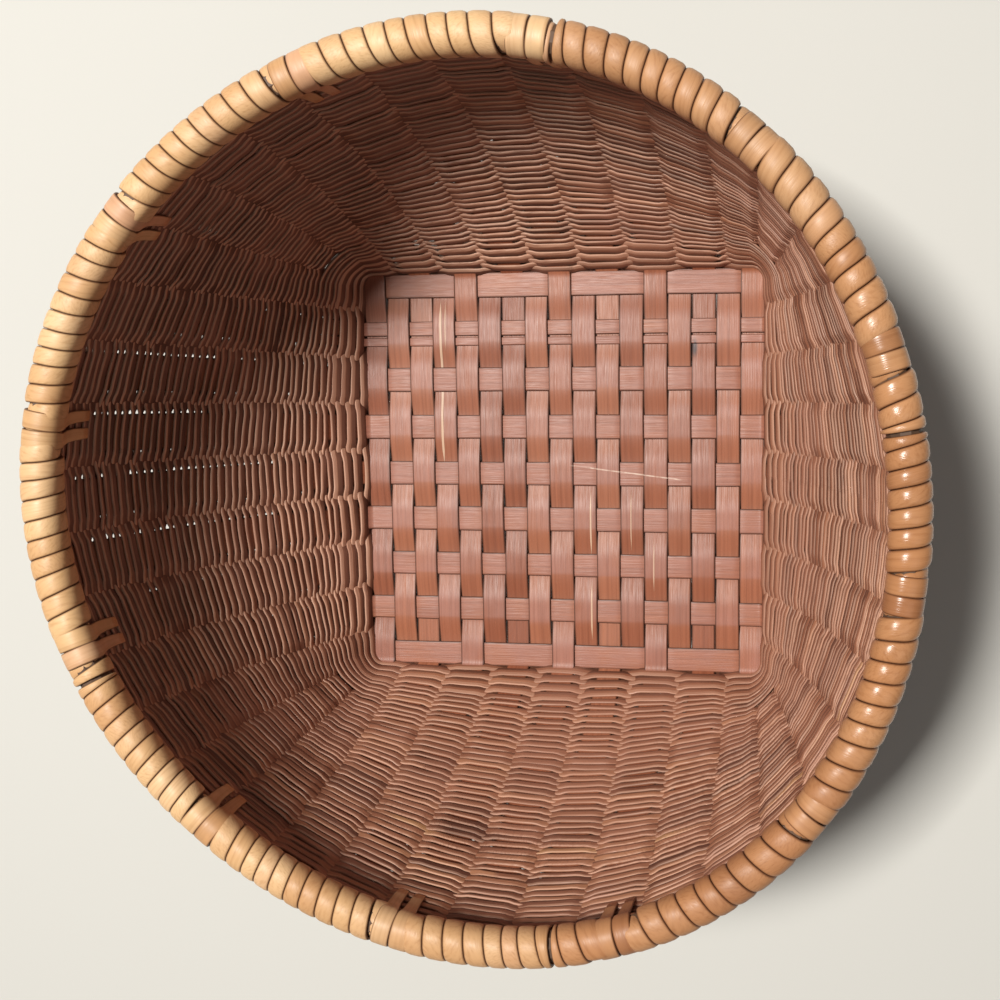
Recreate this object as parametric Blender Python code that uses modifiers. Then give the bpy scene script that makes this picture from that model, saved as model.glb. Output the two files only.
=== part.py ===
"""A woven basket with a square plaited base and a round rim bound with split cane.

Flat splints are plaited into a square base.  Every cross splint, and every other long splint, turns up at
the edge of the base and becomes a stake on each of two opposite walls, and one more stake is set in at each
corner.  Fine strands are woven in and out round the stakes; the model holds them as broad courses, each
standing for seven or eight rows of strand.  A round hoop lies along the stake tips.  It is bound all round
with lengths of split cane, and twelve stitches of the same cane straddle the top of the wall and hold the
hoop down.

Lengths are in metres and +Z is up.  The basket stands on its base, and the origin is under the middle of
its rim.
"""
from math import atan2, ceil, cos, pi, radians, sin

import bmesh
import bpy
from mathutils import Vector

MM = 0.001

# ---- Plaited base
STAKES_PER_SIDE = 9            # splints of each direction that turn up into a wall; an odd number
COLUMN_PITCH = 12.2 * MM       # between neighbouring long splints
COLUMN_WIDTH = 11.1 * MM
ROW_PITCH = 24.0 * MM          # between neighbouring cross splints
ROW_WIDTH = 12.6 * MM
SPLINT_THICKNESS = 1.1 * MM

# ---- Walls
STAKE_TIP_WIDTH = 10.0 * MM    # what each stake is pared down to under the rim
CORNER_STAKE_WIDTH = 3.0 * MM  # at the point of a corner stake, where it is pushed in
WALL_SWELL = 0.22              # how far the walls belly out, as a share of their lean
WEAVE_START = 5.4 * MM         # from the underside of the base to the first strand
COURSES = 12                   # of strands round the walls
COURSES_BELOW_CORNERS = 2      # these pass below the points of the corner stakes
STRAND_THICKNESS = 1.0 * MM

# ---- Rim
RIM_HEIGHT = 162.0 * MM        # of the middle of the hoop
RIM_RADIUS = 167.0 * MM        # of the middle of the hoop, seen from above
RIM_OVAL = 0.017               # how far the rim is drawn out one way and in the other, as a share of its radius
RIM_OVAL_DIRECTION = radians(116)
RIM_LOBES = 0.014              # how far it bulges in three places, as a share of its radius
RIM_LOBE_DIRECTION = radians(60)
RIM_LEAN_X = -6.1 * MM         # from the middle of the base to the middle of the rim
RIM_LEAN_Y = -0.9 * MM
HOOP_RADIUS = 6.0 * MM         # of the hoop's own section
CANE_THICKNESS = 1.2 * MM
WRAP_JOINS = (10, 80, 205, 285)   # degrees round the rim where one length of cane ends and the next begins
STITCH_COUNT = 12
STITCH_START = radians(20)
STITCH_WIDTH = 14.0 * MM       # two turns of cane side by side
STITCH_REACH = 8.0 * MM        # below the hoop, down each face of the wall
STITCH_TURN = radians(280)     # how far round the bound hoop each stitch passes

# ---- Fits
CLEARANCE = 0.35 * MM          # left between neighbouring pieces

# ---- Fineness of the model
RIM_STEP = radians(5)          # round the rim
RIM_SIDES = 10                 # of the hoop's section
STITCH_STEPS = 12              # round the bound hoop
SLOPE_STAKES = 0.05            # the walls' slopes are taken over this share of a stake along them
SLOPE_HEIGHT = 1.0 * MM        # and over this height up them

# ---- What follows from the sizes above
COLUMN_COUNT = 2 * STAKES_PER_SIDE - 1
HALF_SIDE = STAKES_PER_SIDE // 2
STAKES_PER_QUARTER = STAKES_PER_SIDE + 1
STAKE_COUNT = 4 * STAKES_PER_QUARTER
PLY_STEP = SPLINT_THICKNESS + CLEARANCE             # between the middles of crossing splints
ROW_LEVEL = SPLINT_THICKNESS / 2 + PLY_STEP         # the cross splints lie flat at this height
BASE_HALF_X = (COLUMN_COUNT // 2) * COLUMN_PITCH + COLUMN_WIDTH / 2
BASE_HALF_Y = HALF_SIDE * ROW_PITCH + ROW_WIDTH / 2
FOOT_X = BASE_HALF_X + PLY_STEP                     # where the walls would meet the level of the base
FOOT_Y = BASE_HALF_Y + PLY_STEP
TURN_UP = 3.0 * MM                                  # a stake takes this height to turn up
BOUND_RADIUS = HOOP_RADIUS + CLEARANCE + CANE_THICKNESS
WALL_TOP = RIM_HEIGHT - BOUND_RADIUS - CLEARANCE
WEAVE_OFFSET = (SPLINT_THICKNESS + STRAND_THICKNESS) / 2 + CLEARANCE   # of a strand from a stake's middle
WEAVE_MARGIN = 1.0 * MM                             # a strand lies flat this far past a stake's edges

SPLINT = ("bamboo_splint", (0.56, 0.36, 0.27), 0.6)
STRAND = ("bamboo_strand", (0.44, 0.25, 0.16), 0.55)
CANE = ("split_cane", (0.80, 0.58, 0.34), 0.35)
HOOP = ("rim_hoop", (0.62, 0.45, 0.28), 0.6)


# ---- Shapes that the pieces share

def rim_swell(angle):
    """How far the rim's radius departs from a true circle at an angle, as a ratio."""
    oval = RIM_OVAL * cos(2 * (angle - RIM_OVAL_DIRECTION))
    lobes = RIM_LOBES * cos(3 * (angle - RIM_LOBE_DIRECTION))
    return 1 + oval + lobes


def rim_outline(angle):
    """The middle of the hoop at an angle, measured from the rim's own middle."""
    radius = RIM_RADIUS * rim_swell(angle)
    return Vector((radius * cos(angle), radius * sin(angle), 0))


def outline_middle():
    """The middle of the box round the rim's outline."""
    points = [rim_outline(radians(degree)) for degree in range(360)]
    xs = [point.x for point in points]
    ys = [point.y for point in points]
    return Vector(((min(xs) + max(xs)) / 2, (min(ys) + max(ys)) / 2, 0))


RIM_MIDDLE = -outline_middle()
BASE_MIDDLE = RIM_MIDDLE - Vector((RIM_LEAN_X, RIM_LEAN_Y, 0))


def rim_point(angle):
    """The middle of the hoop at an angle."""
    return RIM_MIDDLE + rim_outline(angle) + Vector((0, 0, RIM_HEIGHT))


def foot_point(place):
    """A point on the square line where the walls spring, at a place counted in stakes round the basket."""
    quarter = round(place / STAKES_PER_QUARTER) % 4
    along = place - STAKES_PER_QUARTER * round(place / STAKES_PER_QUARTER)
    pitch, half_across = ((ROW_PITCH, FOOT_X), (2 * COLUMN_PITCH, FOOT_Y))[quarter % 2]
    other_pitch, other_half = ((2 * COLUMN_PITCH, FOOT_Y), (ROW_PITCH, FOOT_X))[quarter % 2]
    if abs(along) <= HALF_SIDE:
        out, side = half_across, along * pitch
    else:
        turn = (abs(along) - HALF_SIDE) / 2 * pi / 2
        out = HALF_SIDE * other_pitch + (half_across - HALF_SIDE * other_pitch) * cos(turn)
        side = HALF_SIDE * pitch + (other_half - HALF_SIDE * pitch) * sin(turn)
        side = side if along > 0 else -side
    point = ((out, side), (-side, out), (-out, -side), (side, -out))[quarter]
    return BASE_MIDDLE + Vector((point[0], point[1], 0))


def wall_point(place, height):
    """A point on the middle surface of the wall, at a place counted in stakes and a height above the ground."""
    rise = (height - ROW_LEVEL) / (WALL_TOP - ROW_LEVEL)
    lean = rise + 4 * WALL_SWELL * rise * (1 - rise)
    foot = foot_point(place)
    head = rim_point(place / STAKE_COUNT * 2 * pi)
    point = foot.lerp(head, lean)
    point.z = height
    return point


def wall_frame(place, height):
    """The wall's middle point at a stake, with its level direction and its outward normal."""
    across = (wall_point(place + SLOPE_STAKES, height) - wall_point(place - SLOPE_STAKES, height)).normalized()
    upward = wall_point(place, height + SLOPE_HEIGHT) - wall_point(place, height - SLOPE_HEIGHT)
    return wall_point(place, height), across, across.cross(upward).normalized()


def stake_width(foot_width, height):
    """A stake's width at a height: it tapers evenly from the base to the rim."""
    rise = (height - ROW_LEVEL) / (WALL_TOP - ROW_LEVEL)
    return foot_width + (STAKE_TIP_WIDTH - foot_width) * rise


def course_levels():
    """The heights between which the courses lie."""
    step = (WALL_TOP - WEAVE_START) / COURSES
    return [WEAVE_START + step * index for index in range(COURSES + 1)]


def corner_stake_width(height):
    """A corner stake's width at a height: it tapers from the rim down to its point."""
    point_height = course_levels()[COURSES_BELOW_CORNERS]
    rise = (height - point_height) / (WALL_TOP - point_height)
    return CORNER_STAKE_WIDTH + (STAKE_TIP_WIDTH - CORNER_STAKE_WIDTH) * rise


# ---- Tools for making an object

def finish(collection, name, mesh, material):
    """Put a mesh into the collection as a named piece with its material."""
    piece = bpy.data.objects.new(name, mesh)
    piece.data.materials.append(material)
    collection.objects.link(piece)
    return piece


def thicken(piece, thickness, offset):
    """Give an open surface its thickness; an offset of 0 puts half on each side, and 1 puts it all outside."""
    solidify = piece.modifiers.new("thickness", "SOLIDIFY")
    solidify.thickness = thickness
    solidify.offset = offset
    solidify.use_even_offset = True


def finish_sheet(collection, name, shape, material, thickness):
    """Make a piece of an open surface, folding each four-sided face along its shorter diagonal."""
    bmesh.ops.triangulate(shape, faces=shape.faces[:], quad_method="SHORT_EDGE")
    mesh = bpy.data.meshes.new(name)
    shape.to_mesh(mesh)
    shape.free()
    piece = finish(collection, name, mesh, material)
    thicken(piece, thickness, 0)
    return piece


def strip(collection, name, stations, material, thickness):
    """A flat strip through stations, each a middle point, a direction across and a width."""
    shape = bmesh.new()
    bmesh.ops.create_grid(shape, x_segments=1, y_segments=len(stations) - 1, size=1)
    shape.verts.ensure_lookup_table()
    for index, (middle, across, width) in enumerate(stations):
        shape.verts[2 * index].co = middle - across * width / 2
        shape.verts[2 * index + 1].co = middle + across * width / 2
    return finish_sheet(collection, name, shape, material, thickness)


def band(collection, name, lower, upper, material, thickness):
    """A closed band between two rings of points."""
    shape = bmesh.new()
    bmesh.ops.create_cone(shape, cap_ends=False, segments=len(lower), radius1=1, radius2=1, depth=1)
    half_step = pi / len(lower)
    in_turn = sorted(shape.verts, key=lambda vertex: (atan2(vertex.co.y, vertex.co.x) + half_step) % (2 * pi))
    low_vertices = [vertex for vertex in in_turn if vertex.co.z < 0]
    high_vertices = [vertex for vertex in in_turn if vertex.co.z > 0]
    for vertices, ring in ((low_vertices, lower), (high_vertices, upper)):
        for vertex, point in zip(vertices, ring):
            vertex.co = point
    return finish_sheet(collection, name, shape, material, thickness)


def tube_along(collection, name, points, radius, material, closed):
    """A round tube along points in the plane of the rim, open at its ends unless it closes on itself."""
    curve = bpy.data.curves.new(name, "CURVE")
    curve.dimensions = "3D"
    curve.twist_mode = "Z_UP"
    curve.bevel_depth = radius
    curve.bevel_resolution = RIM_SIDES // 2 - 2
    spline = curve.splines.new("POLY")
    spline.points.add(len(points) - 1)
    spline.use_cyclic_u = closed
    for spline_point, point in zip(spline.points, points):
        spline_point.co = (*point, 1)
    guide = bpy.data.objects.new(name, curve)
    collection.objects.link(guide)
    bpy.context.view_layer.update()
    mesh = bpy.data.meshes.new_from_object(guide.evaluated_get(bpy.context.evaluated_depsgraph_get()))
    bpy.data.objects.remove(guide)
    bpy.data.curves.remove(curve)
    mesh.materials.clear()
    mesh.name = name
    mesh.shade_smooth()
    return finish(collection, name, mesh, material)


# ---- The pieces

def base_station(column_x, row_y, level):
    """A station of a long splint on the base."""
    middle = BASE_MIDDLE + Vector((column_x, row_y, level))
    return middle, Vector((1, 0, 0)), COLUMN_WIDTH


def passes_over(column, row):
    """Whether a long splint passes over a cross splint; both are counted from the middle of the base."""
    if abs(row) == HALF_SIDE:
        return (column + COLUMN_COUNT // 2) % 4 == 0
    turned_up = (column + COLUMN_COUNT // 2) % 2 == 0
    return (row + HALF_SIDE) % 2 == (0 if turned_up else 1)


def plaited_stations(column, past_border):
    """The stations of a long splint across the base, over and under the cross splints, and past the border."""
    stations = []
    for row in range(-HALF_SIDE, HALF_SIDE + 1):
        level = ROW_LEVEL + (PLY_STEP if passes_over(column, row) else -PLY_STEP)
        for edge in (-1, 1):
            outermost = row * edge == HALF_SIDE
            row_y = row * ROW_PITCH + edge * (ROW_WIDTH / 2 + (past_border if outermost else 0))
            stations.append(base_station(column * COLUMN_PITCH, row_y, level))
    return stations


def wall_stations(place, foot_width, along):
    """The stations of a stake up a wall; along is the direction that its width takes round the basket."""
    stations = []
    for height in [ROW_LEVEL + TURN_UP] + course_levels():
        middle, across, _ = wall_frame(place, height)
        stations.append((middle, across * along, stake_width(foot_width, height)))
    return stations


def long_splints(collection, material):
    """The long splints: every other one runs up the far and near walls, and the rest end under the border."""
    half = COLUMN_COUNT // 2
    stakes = fillers = 0
    for column in range(-half, half + 1):
        if (column + half) % 2:
            fillers += 1
            plaited = plaited_stations(column, 0)
            strip(collection, f"base_filler_{fillers}", plaited, material, SPLINT_THICKNESS)
            continue
        stakes += 1
        plaited = plaited_stations(column, PLY_STEP / 2)
        far = STAKES_PER_QUARTER - column // 2
        near = 3 * STAKES_PER_QUARTER + column // 2
        path = wall_stations(near, COLUMN_WIDTH, 1)[::-1] + plaited + wall_stations(far, COLUMN_WIDTH, -1)
        strip(collection, f"long_stake_{stakes}", path, material, SPLINT_THICKNESS)


def cross_splints(collection, material):
    """The cross splints: each lies straight across the base and runs up the left and right walls."""
    for row in range(-HALF_SIDE, HALF_SIDE + 1):
        across = Vector((0, 1, 0))
        flat = []
        for side in (-1, 1):
            middle = BASE_MIDDLE + Vector((side * (BASE_HALF_X + CLEARANCE), row * ROW_PITCH, ROW_LEVEL))
            flat.append((middle, across, ROW_WIDTH))
        left = wall_stations(2 * STAKES_PER_QUARTER - row, ROW_WIDTH, -1)
        right = wall_stations(row, ROW_WIDTH, 1)
        strip(collection, f"cross_stake_{row + HALF_SIDE + 1}", left[::-1] + flat + right, material,
              SPLINT_THICKNESS)


def corner_stakes(collection, material):
    """A pointed stake pushed in at each corner, where the walls grow wider than the base."""
    levels = course_levels()[COURSES_BELOW_CORNERS:]
    heights = [levels[0] + 2 * CLEARANCE] + levels[1:]
    for corner in range(4):
        place = STAKES_PER_QUARTER * (corner + 0.5)
        stations = []
        for height in heights:
            middle, across, _ = wall_frame(place, height)
            stations.append((middle, across, corner_stake_width(height)))
        strip(collection, f"corner_stake_{corner + 1}", stations, material, SPLINT_THICKNESS)


def stake_width_at(place, height):
    """The width of the stake that stands at a place, at a height."""
    if place % STAKES_PER_QUARTER == STAKES_PER_QUARTER // 2:
        return corner_stake_width(height)
    far_or_near = round(place / STAKES_PER_QUARTER) % 2
    return stake_width(COLUMN_WIDTH if far_or_near else ROW_WIDTH, height)


def woven_ring(course, height):
    """The points of a course at one height: flat against each stake, and crossing between the stakes."""
    points = []
    for place in range(STAKE_COUNT):
        at_corner = place % STAKES_PER_QUARTER == STAKES_PER_QUARTER // 2
        if at_corner and course < COURSES_BELOW_CORNERS:
            continue
        half = stake_width_at(place, height) / 2 + WEAVE_MARGIN
        middle, across, outward = wall_frame(place, height)
        side = -1 if (place + course) % 2 else 1
        for edge in (-1, 1):
            points.append(middle + across * edge * half + outward * side * WEAVE_OFFSET)
    return points


def weaver_courses(collection, material):
    """The strands, as broad courses that pass outside one stake and inside the next."""
    levels = course_levels()
    for course in range(COURSES):
        low = levels[course] + (CLEARANCE if course else 0)
        lower = woven_ring(course, low)
        upper = woven_ring(course, levels[course + 1] - CLEARANCE)
        band(collection, f"weaver_course_{course + 1}", lower, upper, material, STRAND_THICKNESS)


def rim_hoop(collection, material):
    """The round hoop that lies along the stake tips."""
    steps = round(2 * pi / RIM_STEP)
    points = [rim_point(index * RIM_STEP) for index in range(steps)]
    tube_along(collection, "rim_hoop", points, HOOP_RADIUS, material, True)


def rim_wraps(collection, material):
    """The lengths of split cane that bind the hoop, each as one sleeve."""
    joins = [radians(join) for join in WRAP_JOINS]
    gap = CLEARANCE / RIM_RADIUS + RIM_STEP / 2 * BOUND_RADIUS / RIM_RADIUS
    for index, start in enumerate(joins):
        end = joins[(index + 1) % len(joins)]
        end = end if end > start else end + 2 * pi
        steps = ceil((end - start) / RIM_STEP)
        points = []
        for step in range(steps + 1):
            angle = start + (end - start) * step / steps
            inset = gap if step == 0 else -gap if step == steps else 0
            points.append(rim_point(angle + inset))
        name = f"rim_wrap_{index + 1}"
        sleeve = tube_along(collection, name, points, HOOP_RADIUS + CLEARANCE, material, False)
        thicken(sleeve, CANE_THICKNESS, 1)


def stitch_stations(angle):
    """The stations of a stitch: up the inner face of the wall, over the bound hoop and down the outer face."""
    place = angle / (2 * pi) * STAKE_COUNT
    wall_middle = wall_point(place, WALL_TOP - STITCH_REACH)
    across = (rim_point(angle + RIM_STEP / 2) - rim_point(angle - RIM_STEP / 2)).normalized()
    outward = across.cross(Vector((0, 0, 1)))
    middle = rim_point(angle)
    lap = BOUND_RADIUS + 2 * CLEARANCE + CANE_THICKNESS / 2
    leg_offset = WEAVE_OFFSET + (STRAND_THICKNESS + CANE_THICKNESS) / 2 + 2 * CLEARANCE
    stations = [(wall_middle - outward * leg_offset, across, STITCH_WIDTH)]
    for step in range(STITCH_STEPS + 1):
        around = pi / 2 + STITCH_TURN * (0.5 - step / STITCH_STEPS)
        lapped = middle + outward * lap * cos(around) + Vector((0, 0, lap * sin(around)))
        stations.append((lapped, across, STITCH_WIDTH))
    stations.append((wall_middle + outward * leg_offset, across, STITCH_WIDTH))
    return stations


def rim_stitches(collection, material):
    """The stitches that hold the bound hoop down on the wall."""
    for index in range(STITCH_COUNT):
        angle = STITCH_START + 2 * pi * index / STITCH_COUNT
        strip(collection, f"rim_stitch_{index + 1}", stitch_stations(angle), material, CANE_THICKNESS)


def make_material(name, colour, roughness):
    """A plain material for one kind of piece."""
    material = bpy.data.materials.new(name)
    material.use_nodes = True
    shader = material.node_tree.nodes["Principled BSDF"]
    shader.inputs["Base Color"].default_value = (*colour, 1)
    shader.inputs["Roughness"].default_value = roughness
    return material


def main():
    for old in list(bpy.data.objects):
        bpy.data.objects.remove(old)
    basket = bpy.data.collections.new("woven_basket")
    bpy.context.scene.collection.children.link(basket)
    splint = make_material(*SPLINT)
    cane = make_material(*CANE)
    long_splints(basket, splint)
    cross_splints(basket, splint)
    corner_stakes(basket, splint)
    weaver_courses(basket, make_material(*STRAND))
    rim_hoop(basket, make_material(*HOOP))
    rim_wraps(basket, cane)
    rim_stitches(basket, cane)


main()
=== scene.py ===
# %% [markdown]
# # A woven basket: looks
#
# The basket is plaited and woven from bamboo.  Flat splints make a square base, turn up at its edge and
# stand as stakes.  Thin strands are woven in and out round the stakes, and a hoop bound with split cane
# holds the top.  The frame below is the solid model, and every piece here stands where its solid stands.

from math import pi, radians

import bpy
import numpy as np
from mathutils import Euler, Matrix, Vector


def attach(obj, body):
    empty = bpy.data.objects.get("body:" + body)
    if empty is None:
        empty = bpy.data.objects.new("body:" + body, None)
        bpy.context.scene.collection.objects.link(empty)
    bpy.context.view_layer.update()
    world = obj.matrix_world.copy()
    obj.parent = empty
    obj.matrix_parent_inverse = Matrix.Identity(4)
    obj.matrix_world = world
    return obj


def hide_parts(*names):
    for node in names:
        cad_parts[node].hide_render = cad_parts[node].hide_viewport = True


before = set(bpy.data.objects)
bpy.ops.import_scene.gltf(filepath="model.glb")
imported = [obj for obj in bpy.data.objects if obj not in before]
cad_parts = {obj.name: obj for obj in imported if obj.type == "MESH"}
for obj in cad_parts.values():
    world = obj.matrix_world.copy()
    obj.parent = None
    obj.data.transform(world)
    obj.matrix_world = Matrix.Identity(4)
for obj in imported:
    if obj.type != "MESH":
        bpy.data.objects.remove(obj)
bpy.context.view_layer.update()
print("solids in the frame:", len(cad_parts))

# %% [markdown]
# ## Sizes
#
# These are the basket's own sizes in metres.  Most are those of the solid model.  The long splints and the
# tips of the stakes are broader here, because next to real strands their edges would let too much light in,
# and the foot of the wall stands a little further in.  The stakes are counted round the basket: a "place"
# of 0 is the middle of the right wall, 10 the far wall, 20 the left and 30 the near one, and 5, 15, 25 and
# 35 are the corners.

# %% Sizes of the basket
MM = 0.001
STAKES_PER_SIDE = 9
HALF_SIDE = STAKES_PER_SIDE // 2
STAKES_PER_QUARTER = STAKES_PER_SIDE + 1
STAKE_COUNT = 4 * STAKES_PER_QUARTER
COLUMN_COUNT = 2 * STAKES_PER_SIDE - 1
COLUMN_PITCH = 12.2 * MM
COLUMN_WIDTH = 12.1 * MM
ROW_PITCH = 24.0 * MM
ROW_WIDTH = 12.6 * MM
STAKE_TIP_WIDTH = 16.2 * MM
CORNER_STAKE_WIDTH = 3.0 * MM
CORNER_STAKE_START = 30.9 * MM
WALL_SWELL = 0.22
FOOT_LEVEL = 2.3 * MM
FOOT_X = 103.7 * MM
FOOT_Y = 102.9 * MM
WEAVE_START = 1.9 * MM
RIM_HEIGHT = 162.0 * MM
RIM_RADIUS = 167.0 * MM
RIM_OVAL, RIM_OVAL_DIRECTION = 0.017, radians(116)
RIM_LOBES, RIM_LOBE_DIRECTION = 0.014, radians(60)
RIM_LEAN = (-6.1 * MM, -0.9 * MM)
HOOP_RADIUS = 6.0 * MM
CANE_THICKNESS = 1.2 * MM
CLEARANCE = 0.35 * MM
BOUND_RADIUS = HOOP_RADIUS + CLEARANCE + CANE_THICKNESS
WALL_TOP = RIM_HEIGHT - BOUND_RADIUS - CLEARANCE
print("stakes round the basket:", STAKE_COUNT, "top of the wall (mm):", round(WALL_TOP / MM, 2))

# %% [markdown]
# ## The shape of the wall
#
# The rim is nearly round: it is drawn out a little one way and bulges in three places, as a hoop bent by
# hand does.  The wall runs from the square line round the base to the rim and bellies outward on the way.
# A lofted surface in the viewport could show this shape, but nothing could be woven on it.  Both lines are
# formulas here, so every strand and stake can ask for its own place.

# %% The rim's outline
def rim_outline(angle):
    """Points on the middle of the hoop, measured from the rim's own middle."""
    oval = RIM_OVAL * np.cos(2 * (angle - RIM_OVAL_DIRECTION))
    lobes = RIM_LOBES * np.cos(3 * (angle - RIM_LOBE_DIRECTION))
    radius = RIM_RADIUS * (1 + oval + lobes)
    return np.stack([radius * np.cos(angle), radius * np.sin(angle), 0 * angle], -1)


rim_line = rim_outline(np.radians(np.arange(360.0)))
RIM_MIDDLE = -(rim_line.min(0) + rim_line.max(0)) / 2
BASE_MIDDLE = RIM_MIDDLE - np.array([*RIM_LEAN, 0])


def rim_point(angle):
    """Points on the middle of the hoop."""
    return RIM_MIDDLE + rim_outline(np.asarray(angle, float)) + np.array([0, 0, RIM_HEIGHT])


# %% The foot of the wall
def foot_point(place):
    """Points on the square line with rounded corners where the walls spring."""
    nearest = np.round(place / STAKES_PER_QUARTER)
    along = place - STAKES_PER_QUARTER * nearest
    quarter = nearest.astype(int) % 4
    odd = quarter % 2 == 1
    pitch = np.where(odd, 2 * COLUMN_PITCH, ROW_PITCH)
    other_pitch = np.where(odd, ROW_PITCH, 2 * COLUMN_PITCH)
    half = np.where(odd, FOOT_Y, FOOT_X)
    other_half = np.where(odd, FOOT_X, FOOT_Y)
    turn = np.clip(np.abs(along) - HALF_SIDE, 0, 1) / 2 * pi / 2
    round_out = HALF_SIDE * other_pitch + (half - HALF_SIDE * other_pitch) * np.cos(turn)
    round_side = HALF_SIDE * pitch + (other_half - HALF_SIDE * pitch) * np.sin(turn)
    straight = np.abs(along) <= HALF_SIDE
    out = np.where(straight, half, round_out)
    side = np.where(straight, along * pitch, np.sign(along) * round_side)
    x = np.choose(quarter, [out, -side, -out, side])
    y = np.choose(quarter, [side, out, -side, -out])
    return BASE_MIDDLE + np.stack([x, y, 0 * x], -1)


# %% [markdown]
# A strand needs more than its place: it needs to know which way is out through the wall and which way is
# up it.  Both come from points a little to each side.

# %% Points and directions on the wall
def wall_point(place, height):
    """Points on the middle of the wall's thickness, at places counted in stakes and at heights."""
    place, height = np.broadcast_arrays(np.asarray(place, float), np.asarray(height, float))
    rise = (height - FOOT_LEVEL) / (WALL_TOP - FOOT_LEVEL)
    lean = (rise + 4 * WALL_SWELL * rise * (1 - rise))[..., None]
    point = foot_point(place) * (1 - lean) + rim_point(place / STAKE_COUNT * 2 * pi) * lean
    point[..., 2] = height
    return point


def unit(vectors):
    """The same directions, with length 1."""
    return vectors / np.linalg.norm(vectors, axis=-1, keepdims=True)


def wall_frame(place, height):
    """The wall's middle points with the directions round, up and out through it."""
    place_step, height_step = 0.05, 1.0 * MM
    around = unit(wall_point(place + place_step, height) - wall_point(place - place_step, height))
    up = unit(wall_point(place, height + height_step) - wall_point(place, height - height_step))
    return wall_point(place, height), around, up, unit(np.cross(around, up))


print("rim middle (mm):", np.round(RIM_MIDDLE / MM, 2), "base middle:", np.round(BASE_MIDDLE / MM, 2))

# %% [markdown]
# ## Camera and light
#
# The camera looks down into the basket from a little to the right of its middle, close enough that the rim
# comes near and the base looks small.  A longer lens from further off would be easier to place, but the base
# would then look larger beside the rim, and less of the walls would show.

# %% The camera
CAMERA_FROM_BASE = (0.1118, 0.0423, 0.5466)
CAMERA_TILT = (radians(-5.83), radians(7.94), radians(-0.26))
camera_data = bpy.data.cameras.new("camera")
camera_data.sensor_width = 36
camera_data.lens = 38.88
camera_data.shift_x = -0.13
camera = bpy.data.objects.new("camera", camera_data)
camera.location = Vector(BASE_MIDDLE) + Vector(CAMERA_FROM_BASE)
camera.rotation_euler = Euler(CAMERA_TILT)
bpy.context.scene.collection.objects.link(camera)
bpy.context.scene.camera = camera
print("camera stands at (mm):", [round(part / MM) for part in camera.location])

# %% [markdown]
# One strong panel of light, like a window, stands high to the upper left.  It lights the rim and the base and
# the right and near walls, and leaves the left wall dark under the rim.  A smaller panel draws a sharper edge
# of shade, and a larger one would wash it out.  The sky and a weak second panel add only a little, so that
# the dark wall still shows its strands.

# %% The lamps and the sky
def area_light(name, location, target, size, power, colour):
    """A square panel of light that faces a target."""
    data = bpy.data.lights.new(name, "AREA")
    data.size = size
    data.energy = power
    data.color = colour
    panel = bpy.data.objects.new(name, data)
    panel.location = location
    panel.rotation_euler = (Vector(target) - Vector(location)).to_track_quat("-Z", "Y").to_euler()
    bpy.context.scene.collection.objects.link(panel)


area_light("window", (-0.577, 0.419, 2.17), (0, 0, 0.10), size=0.42, power=63, colour=(1.0, 0.96, 0.90))
area_light("room", (0.6, -0.5, 1.3), (0, 0, 0.05), size=0.8, power=1.2, colour=(1.0, 0.93, 0.86))
sky = bpy.data.worlds.new("sky")
sky.use_nodes = True
sky_light = sky.node_tree.nodes["Background"]
sky_light.inputs["Color"].default_value = (1.0, 0.96, 0.93, 1)
sky_light.inputs["Strength"].default_value = 0.085
bpy.context.scene.world = sky
bpy.context.scene.view_settings.view_transform = "Standard"
print("lamps:", [(lamp.name, round(lamp.energy, 1)) for lamp in bpy.data.lights])

# %% [markdown]
# ## Ribbons
#
# Everything in the basket is a strip of bamboo or cane, so one tool makes them all.  A curve with a bevel
# would carry a section along a path too, but its width and thickness can't change apart from each other, and
# it keeps no facts for the material.  So the points are worked out here: a ribbon carries a small closed
# section along a path.  Each of its points also keeps four facts: a tone of its own, how far it stands proud
# or how much it was handled, how stained the cane is and how much painted shade a strand carries, and how
# near it lies to the ribbon's edge.

# %% The section of a ribbon
def section(count, across_power, through_power):
    """A flat closed section with rounded edges, from -1 to 1 both ways."""
    angle = (np.arange(count) + 0.5) / count * 2 * pi
    across = np.sign(np.cos(angle)) * np.abs(np.cos(angle)) ** across_power
    through = np.sign(np.sin(angle)) * np.abs(np.sin(angle)) ** through_power
    return np.stack([across, through], -1)


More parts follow.
